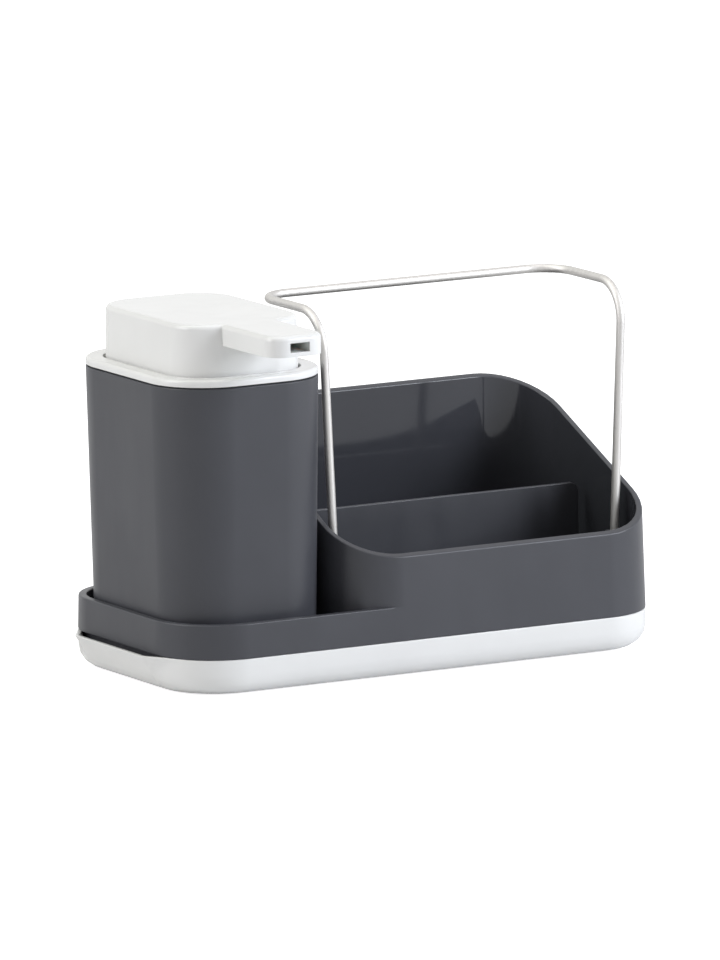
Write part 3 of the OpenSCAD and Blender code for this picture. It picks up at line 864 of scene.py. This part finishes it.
@dataclass
class TowelBar:
    """Satin steel wire: two splayed legs that bend back and meet in a crossbar."""

    wire: float = 3.5 * MM
    sides: int = 24
    elbow_z: float = 45.75 * MM
    splay: float = math.radians(2.5)
    bend: float = 16 * MM
    corner: float = 14 * MM
    bend_steps: int = 16
    end_round: float = 0.4 * MM

    def build(self, finishes: Finishes) -> None:
        """Make and dress the bar.

        Args:
            finishes: Finishes of the caddy.
        """
        low, high = box_of("towel_bar")
        middle, wire_r = (low.x + high.x) / 2, self.wire / 2
        leg_y, bar_z = low.y + wire_r, high.z - wire_r
        crossbar_y = high.y - wire_r
        cos, sin = math.cos(self.splay), math.sin(self.splay)
        rise = bar_z - self.bend * cos - self.elbow_z - self.bend * sin
        leg_run = rise * math.tan(self.splay)
        out = self.bend * (1 - cos) + leg_run + self.bend * sin
        foot_x = high.x - wire_r - out - middle
        deselect_all()
        bpy.ops.mesh.primitive_circle_add(vertices=self.sides, radius=wire_r, fill_type="NGON",
                                          location=(foot_x, leg_y, low.z))
        piece = Workpiece(bpy.context.object, "towel_wire")
        piece.doubled()
        bpy.ops.transform.translate(value=(0, 0, self.elbow_z - low.z))
        self.spin((foot_x + self.bend, leg_y, self.elbow_z), (0, 1, 0), self.splay, 2)
        bpy.ops.mesh.extrude_region_move(TRANSFORM_OT_translate={"value": (leg_run, 0, rise)})
        aside = Vector((cos, 0, -sin))
        top_x = foot_x + self.bend * (1 - cos) + leg_run
        top_z = bar_z - self.bend * cos
        self.spin((top_x, leg_y + self.bend, top_z), -aside, math.pi / 2, self.bend_steps)
        rail = crossbar_y - self.corner - leg_y - self.bend
        bpy.ops.mesh.extrude_region_move(TRANSFORM_OT_translate={"value": (0, rail, 0)})
        rail_x = high.x - wire_r - middle
        self.spin((rail_x - self.corner, crossbar_y - self.corner, bar_z), (0, 0, 1), math.pi / 2,
                  self.bend_steps)
        bpy.ops.mesh.extrude_region_move(TRANSFORM_OT_translate={"value": (self.corner - rail_x, 0, 0)})
        bpy.ops.mesh.delete(type="ONLY_FACE")
        deselect_all()
        self.mirror(piece)
        piece.edit("VERT")
        piece.closed().soften(self.end_round, steps=2, above=60).smoothed(below=30).moved(middle)
        piece.dress(finishes.wire, Body.BAR, Slot.WIRE, "towel_bar")

    @staticmethod
    def spin(centre: Sequence[float], axis: Sequence[float], angle: float, steps: int) -> None:
        """Draw the selected end of the wire round a bend of an angle in radians."""
        bpy.ops.mesh.spin(steps=steps, angle=-angle, center=tuple(centre), axis=tuple(axis))

    @staticmethod
    def mirror(piece: Workpiece) -> None:
        """Mirror the half wire at the middle of the basket."""
        take(piece.obj)
        modifier = piece.obj.modifiers.new("other_half", "MIRROR")
        modifier.use_mirror_merge = True
        modifier.merge_threshold = 2 * LOOSE
        bpy.ops.object.modifier_apply(modifier=modifier.name)


@dataclass
class BottlePlan:
    """Shared plan of bottle, lid and pump head, about the pump axis."""

    corner: float = 25 * MM

    @property
    def axis_x(self) -> float:
        """Place of the pump axis along x."""
        low, high = box_of("bottle_shell")
        return (low.x + high.x) / 2

    @property
    def half_l(self) -> float:
        """Half the length along x."""
        low, high = box_of("bottle_shell")
        return (high.x - low.x) / 2

    @property
    def half_w(self) -> float:
        """Half the width along y."""
        low, high = box_of("bottle_shell")
        return (high.y - low.y) / 2

    def plate(self, name: str, inset: float, z: float, steps: int = 14) -> Workpiece:
        """Lay a plate of the bottle's plan, inset all round.

        Args:
            name: Name of the piece.
            inset: Inset from the bottle's outline at its top.
            z: Height of the plate.
            steps: Segments of each corner.

        Returns:
            The piece, in edit mode with its moving face selected.
        """
        half = self.half_l - inset
        radius = self.corner - inset
        return Workpiece.plate(name, (-half, half), self.half_w - inset, (radius, radius), z, steps)


@dataclass
class Bottle:
    """Graphite bottle that widens upwards, open at the top under the lid."""

    plan: BottlePlan = field(default_factory=BottlePlan)
    wall: float = 2 * MM
    bottom: float = 2.4 * MM
    foot: float = 3 * MM
    lean: float = math.tan(math.radians(1.15))
    rim_round: float = 0.4 * MM

    def build(self, finishes: Finishes) -> None:
        """Make and dress the bottle.

        Args:
            finishes: Finishes of the caddy.
        """
        low, high = box_of("bottle_shell")
        drop = high.z - low.z - self.foot
        piece = self.plan.plate("bottle_wall", 0, high.z)
        piece.step(self.lean * drop, -drop).round_off(self.foot, -1)
        piece.pick(high.z).step(self.wall, 0)
        inner = drop - self.bottom
        piece.step(self.lean * inner, -inner).round_off(self.foot, -1)
        piece.closed().soften(self.rim_round, above=60).smoothed().moved(self.plan.axis_x)
        piece.dress(finishes.graphite, Body.BOTTLE, Slot.GRAPHITE, "bottle_shell")


@dataclass
class Lid:
    """White plug lid: flange, well for the pump head, and skirt inside the bottle."""

    plan: BottlePlan = field(default_factory=BottlePlan)
    flange: float = 3 * MM
    edge: float = 1.4 * MM
    border: float = 8 * MM
    gap: float = 1.1 * MM
    well_depth: float = 14.4 * MM
    well_wall: float = 1.6 * MM
    bottle_wall: float = 2 * MM
    play: float = 0.3 * MM
    skirt_wall: float = 1.5 * MM
    skirt_depth: float = 7.6 * MM
    neck_hole: float = 9.05 * MM
    edge_round: float = 0.35 * MM

    def build(self, finishes: Finishes) -> None:
        """Make and dress the lid.

        Args:
            finishes: Finishes of the caddy.
        """
        top = box_of("bottle_lid")[1].z
        under = top - self.flange
        well_in = self.border - self.gap
        piece = self.plan.plate("lid_shell", 0, under)
        piece.step(0, self.flange - self.edge).round_off(self.edge, 1, steps=4)
        piece.step(well_in - self.edge, 0).step(0, -self.well_depth)
        piece.pick(under).step(self.bottle_wall + self.play, 0).step(0, -self.skirt_depth)
        piece.step(self.skirt_wall, 0).step(0, self.skirt_depth)
        between = well_in - self.well_wall - self.bottle_wall - self.play - self.skirt_wall
        piece.step(between, 0).step(0, self.flange - self.well_depth - self.well_wall)
        piece.closed()
        hole = Workpiece.disc("neck_hole", (0, 0, top - 2 * self.well_depth), self.neck_hole)
        hole.step(0, self.well_depth + self.flange).closed()
        piece.combine(hole, "DIFFERENCE").soften(self.edge_round, above=60)
        piece.smoothed().moved(self.plan.axis_x)
        piece.dress(finishes.white, Body.LID, Slot.WHITE, "bottle_lid")


@dataclass
class PumpHead:
    """White pump head with a flat spout, hollow below."""

    plan: BottlePlan = field(default_factory=BottlePlan)
    border: float = 8 * MM
    sink: float = 2.4 * MM
    lean: float = math.tan(math.radians(1.1))
    edge: float = 2 * MM
    wall: float = 1.8 * MM
    spout_w: float = 25 * MM
    spout_t: float = 8.4 * MM
    spout_r: float = 7.7 * MM
    root: float = 6 * MM
    root_round: float = 0.5 * MM
    root_play: float = 0.2 * MM
    hollow_gap: float = 0.09 * MM
    passage_l: float = 2.16 * MM
    passage_in: float = 1.98 * MM
    outlet_l: float = 7.2 * MM
    outlet_w: float = 8.6 * MM
    outlet_h: float = 3.7 * MM
    outlet_drop: float = 4.8 * MM
    plate_t: float = 1.2 * MM
    rim_round: float = 0.25 * MM

    def build(self, finishes: Finishes) -> None:
        """Make and dress the head.

        Args:
            finishes: Finishes of the caddy.
        """
        low, high = box_of("pump_head")
        base = self.border - self.lean * self.sink
        height = high.z - low.z
        piece = self.plan.plate("head_shell", base, low.z)
        piece.step(self.lean * height, height).closed().levelled(high.z)
        piece.combine(self.spout(low.y, high.z, 0).levelled(high.z), "UNION")
        self.round_root(piece, high.z)
        piece.round_edges(lambda edge: at_height(edge, high.z, NEAR), self.edge, steps=5)
        hollow = self.plan.plate("head_hollow", base + self.wall, low.z)
        depth = height - self.wall
        hollow.step(self.lean * depth, depth)
        cutters = (self.lengthened(hollow, low.z), self.spout(low.y, high.z, self.wall),
                   self.passage(high.z), self.outlet(low.y, high.z))
        for cutter in cutters:
            piece.combine(cutter, "DIFFERENCE")
        under = high.z - self.spout_t
        piece.parted()
        piece.round_edges(lambda edge: all(v.co.y < low.y + CLOSE and abs(v.co.x) < self.outlet_w / 2 + CLOSE
                                           and under + CLOSE < v.co.z < high.z - self.edge - CLOSE
                                           for v in edge.verts), self.rim_round)
        piece.smoothed().moved(self.plan.axis_x)
        piece.dress(finishes.white, Body.HEAD, Slot.WHITE, "pump_head")

    def lengthened(self, cutter: Workpiece, z: float) -> Workpiece:
        """Draw a cutter's lower face down by a wall, so that it cuts right through, and close it.

        Args:
            cutter: Cutter in edit mode.
            z: Height of its lower face.

        Returns:
            The closed cutter.
        """
        cutter.pick(z)
        bpy.ops.transform.translate(value=(0, 0, -self.wall))
        return cutter.closed()

    def front(self, top: float) -> float:
        """Give the distance from the axis along y at which the spout leaves the head."""
        rise = top - self.spout_t - box_of("bottle_lid")[1].z
        return self.plan.half_w - self.border - self.lean * rise

    def spout(self, tip_y: float, top: float, inset: float) -> Workpiece:
        """Make the spout, or its hollow if an inset is given.

        Args:
            tip_y: Place of the tip along y.
            top: Height of the top.
            inset: Inset of the hollow from the outside, or 0 for the spout.

        Returns:
            The closed piece.
        """
        back = (-self.hollow_gap if inset else self.root) - self.front(top)
        ends = (tip_y + inset, back)
        radii = (self.spout_r - inset, 0)
        under = top - self.spout_t
        piece = Workpiece.plate("spout", ends, self.spout_w / 2 - inset, radii, under)
        piece.step(0, self.spout_t - inset)
        if inset:
            self.lengthened(piece, under)
        else:
            piece.closed()
        take(piece.obj)
        piece.obj.rotation_euler = (0, 0, math.pi / 2)
        bpy.ops.object.transform_apply(location=True, rotation=True, scale=True)
        return piece

    def passage(self, top: float) -> Workpiece:
        """Make the cutter of the way from the head into the spout.

        Args:
            top: Height of the top.

        Returns:
            The cutter.
        """
        low_z, high_z = top - self.spout_t + self.plate_t / 2, top - self.passage_in
        middle = (0, self.wall / 2 - self.front(top), (low_z + high_z) / 2)
        size = (self.spout_w - 2 * self.passage_in, self.passage_l, high_z - low_z)
        return Workpiece.block("passage", middle, size)

    def outlet(self, tip_y: float, top: float) -> Workpiece:
        """Make the cutter of the outlet, from the place of the tip and the height of the top."""
        size = (self.outlet_w, self.outlet_l, self.outlet_h)
        return Workpiece.block("outlet", (0, tip_y, top - self.outlet_drop), size)

    def round_root(self, piece: Workpiece, top: float) -> None:
        """Round the two inner corners where the spout leaves the head.

        Args:
            piece: Head with its spout.
            top: Height of the top.
        """
        front = self.front(top)
        piece.edit("EDGE")
        for edge in piece.mesh().edges:
            a, b = (v.co for v in edge.verts)
            upright = abs((a - b).normalized().z) > UPRIGHT
            near = all(abs(abs(p.x) - self.spout_w / 2) < self.root_play and abs(p.y + front) < self.edge
                       and p.z > top - self.spout_t - CLOSE for p in (a, b))
            edge.select_set(upright and near)
        bmesh.update_edit_mesh(piece.obj.data)
        bpy.ops.mesh.bevel(offset=self.root_round, segments=5, profile=0.5, affect="EDGES")
        deselect_all()


@dataclass
class PumpWorks:
    """Hidden pieces of the pump, kept as the frame has them, each with its finish."""

    slots: Dict[str, Slot] = field(default_factory=lambda: {
        "lid_seal": Slot.RUBBER, "cylinder_gasket": Slot.RUBBER, "pump_cylinder": Slot.NATURAL,
        "lock_nut": Slot.NATURAL, "stem_guide": Slot.WHITE, "inlet_ball": Slot.VALVE,
        "dip_tube": Slot.NATURAL, "spout_channel": Slot.NATURAL, "pump_stem": Slot.NATURAL,
        "piston_seal": Slot.RUBBER, "outlet_ball": Slot.VALVE, "return_spring": Slot.SPRING,
    })

    def build(self, finishes: Finishes) -> None:
        """Dress the pieces.

        Args:
            finishes: Finishes of the caddy.
        """
        materials = finishes.by_slot()
        for node, slot in self.slots.items():
            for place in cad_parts[node].material_slots:
                place.material = materials[slot]
            log.info("%s: %s", node, slot.value)


@dataclass
class PhotoCamera:
    """Long lens at the place where the photograph was taken from."""

    focal_px: float = 13813.0
    px_per_mm: float = 2.5
    azimuth: float = math.radians(-29.496)
    elevation: float = math.radians(9.77)
    roll: float = math.radians(-0.635)
    origin_px: Tuple[float, float] = (363.088, 653.295)
    image_px: Tuple[int, int] = (720, 960)
    sensor: float = 36.0
    sight: float = 100.0

    def build(self) -> None:
        """Add the camera and look through it."""
        back = direction(self.azimuth, self.elevation)
        right = Vector((math.cos(self.azimuth), math.sin(self.azimuth), 0))
        up = back.cross(right)
        right, up = (math.cos(self.roll) * right + math.sin(self.roll) * up,
                     math.cos(self.roll) * up - math.sin(self.roll) * right)
        distance = self.focal_px / self.px_per_mm * MM
        across = (self.origin_px[0] - self.image_px[0] / 2) / self.focal_px * distance
        down = (self.origin_px[1] - self.image_px[1] / 2) / self.focal_px * distance
        place = distance * back - across * right + down * up
        data = bpy.data.cameras.new("photo_camera")
        data.sensor_width = self.sensor
        data.lens = self.focal_px * self.sensor / max(self.image_px)
        data.clip_end = self.sight
        camera = bpy.data.objects.new("photo_camera", data)
        camera.matrix_world = Matrix((right, up, back)).transposed().to_4x4()
        camera.location = place
        bpy.context.scene.collection.objects.link(camera)
        bpy.context.scene.camera = camera


@dataclass(frozen=True)
class Lamp:
    """Square soft lamp that faces the caddy."""

    name: str
    azimuth: float
    elevation: float
    radiance: Colour
    size: float = 1.2
    distance: float = 2.2
    aim_z: float = 0.07

    def build(self) -> None:
        """Hang the lamp."""
        towards = direction(math.radians(self.azimuth), math.radians(self.elevation))
        data = bpy.data.lights.new(self.name, "AREA")
        data.size = self.size
        strength = max(self.radiance)
        data.color = [share / strength for share in self.radiance]
        data.energy = strength * math.pi * self.size ** 2
        lamp = bpy.data.objects.new(self.name, data)
        lamp.location = Vector((0, 0, self.aim_z)) + self.distance * towards
        lamp.rotation_euler = (-towards).to_track_quat("-Z", "Y").to_euler()
        bpy.context.scene.collection.objects.link(lamp)


@dataclass
class Studio:
    """Pale floor, even room light and soft lamps round the caddy."""

    floor_size: float = 60.0
    floor_grey: float = 0.75
    floor_rough: float = 0.9
    floor_lift: float = 0.8
    floor_mirrored: float = 0.25
    ambient: float = 0.2
    lamps: Tuple[Lamp, ...] = (
        Lamp("left_lamp", -95, 22, (3.9, 3.8, 4.0)),
        Lamp("high_left_lamp", -110, 55, (2.8, 3.0, 2.7)),
        Lamp("key_lamp", 45, 22, (9.4, 9.8, 10.6)),
        Lamp("top_lamp", 0, 89, (1.4, 1.3, 1.3), 1.6),
    )

    def build(self) -> None:
        """Add floor, world and lamps."""
        self.floor()
        self.world()
        for lamp in self.lamps:
            lamp.build()
        bpy.context.scene.view_settings.view_transform = "Standard"

    def floor(self) -> None:
        """Lay the floor, which shows as white and keeps the shadow."""
        deselect_all()
        bpy.ops.mesh.primitive_plane_add(size=self.floor_size, location=(0, 0, 0))
        floor = bpy.context.object
        floor.name = "floor"
        nodes = NodeTree("floor_white")
        nodes.set(Base_Color=(self.floor_grey,) * 3 + (1,), Roughness=self.floor_rough,
                  Specular_IOR_Level=0.0, Emission_Color=(1, 1, 1, 1))
        path = nodes.add("ShaderNodeLightPath")
        mirrored = self.either(nodes.tree, path, "Is Glossy Ray", "Is Transmission Ray")
        glow = nodes.add("ShaderNodeMath", operation="MULTIPLY")
        glow.inputs[1].default_value = self.floor_mirrored
        nodes.link(mirrored.outputs[0], glow.inputs[0])
        lift = nodes.add("ShaderNodeMath", operation="MULTIPLY_ADD")
        lift.inputs[1].default_value = self.floor_lift
        nodes.link(path.outputs["Is Camera Ray"], lift.inputs[0])
        nodes.link(glow.outputs[0], lift.inputs[2])
        nodes.link(lift.outputs[0], nodes.shader.inputs["Emission Strength"])
        floor.data.materials.append(nodes.material)

    def world(self) -> None:
        """Fill the room with even light, seen as white."""
        world = bpy.data.worlds.new("room")
        bpy.context.scene.world = world
        world.use_nodes = True
        tree = world.node_tree
        background = next(n for n in tree.nodes if n.type == "BACKGROUND")
        background.inputs["Color"].default_value = (1, 1, 1, 1)
        path = tree.nodes.new("ShaderNodeLightPath")
        mirrored = self.either(tree, path, "Is Glossy Ray", "Is Transmission Ray")
        seen = tree.nodes.new("ShaderNodeMath")
        seen.operation = "MAXIMUM"
        tree.links.new(path.outputs["Is Camera Ray"], seen.inputs[0])
        tree.links.new(mirrored.outputs[0], seen.inputs[1])
        strength = tree.nodes.new("ShaderNodeMapRange")
        strength.inputs["To Min"].default_value = self.ambient
        strength.inputs["To Max"].default_value = 1.0
        tree.links.new(seen.outputs[0], strength.inputs["Value"])
        tree.links.new(strength.outputs["Result"], background.inputs["Strength"])

    @staticmethod
    def either(tree: bpy.types.NodeTree, path: bpy.types.Node, one: str, other: str) -> bpy.types.Node:
        """Add a node that tells whether a ray is of one kind or another.

        Args:
            tree: Node tree to add to.
            path: Light path node.
            one: Its output for one kind of ray.
            other: Its output for the other kind.

        Returns:
            Node whose first output is 1 for both kinds.
        """
        node = tree.nodes.new("ShaderNodeMath")
        node.operation = "MAXIMUM"
        tree.links.new(path.outputs[one], node.inputs[0])
        tree.links.new(path.outputs[other], node.inputs[1])
        return node


def main() -> None:
    """Build the studio and every piece of the caddy."""
    logging.basicConfig(level=logging.INFO, format="%(name)s: %(message)s")
    PhotoCamera().build()
    Studio().build()
    finishes = Finishes.mixed()
    for part in (DripTray(), CaddyBody(), Divider(), TowelBar(), Bottle(), Lid(), PumpHead(), PumpWorks()):
        part.build(finishes)


if __name__ == "__main__":
    main()
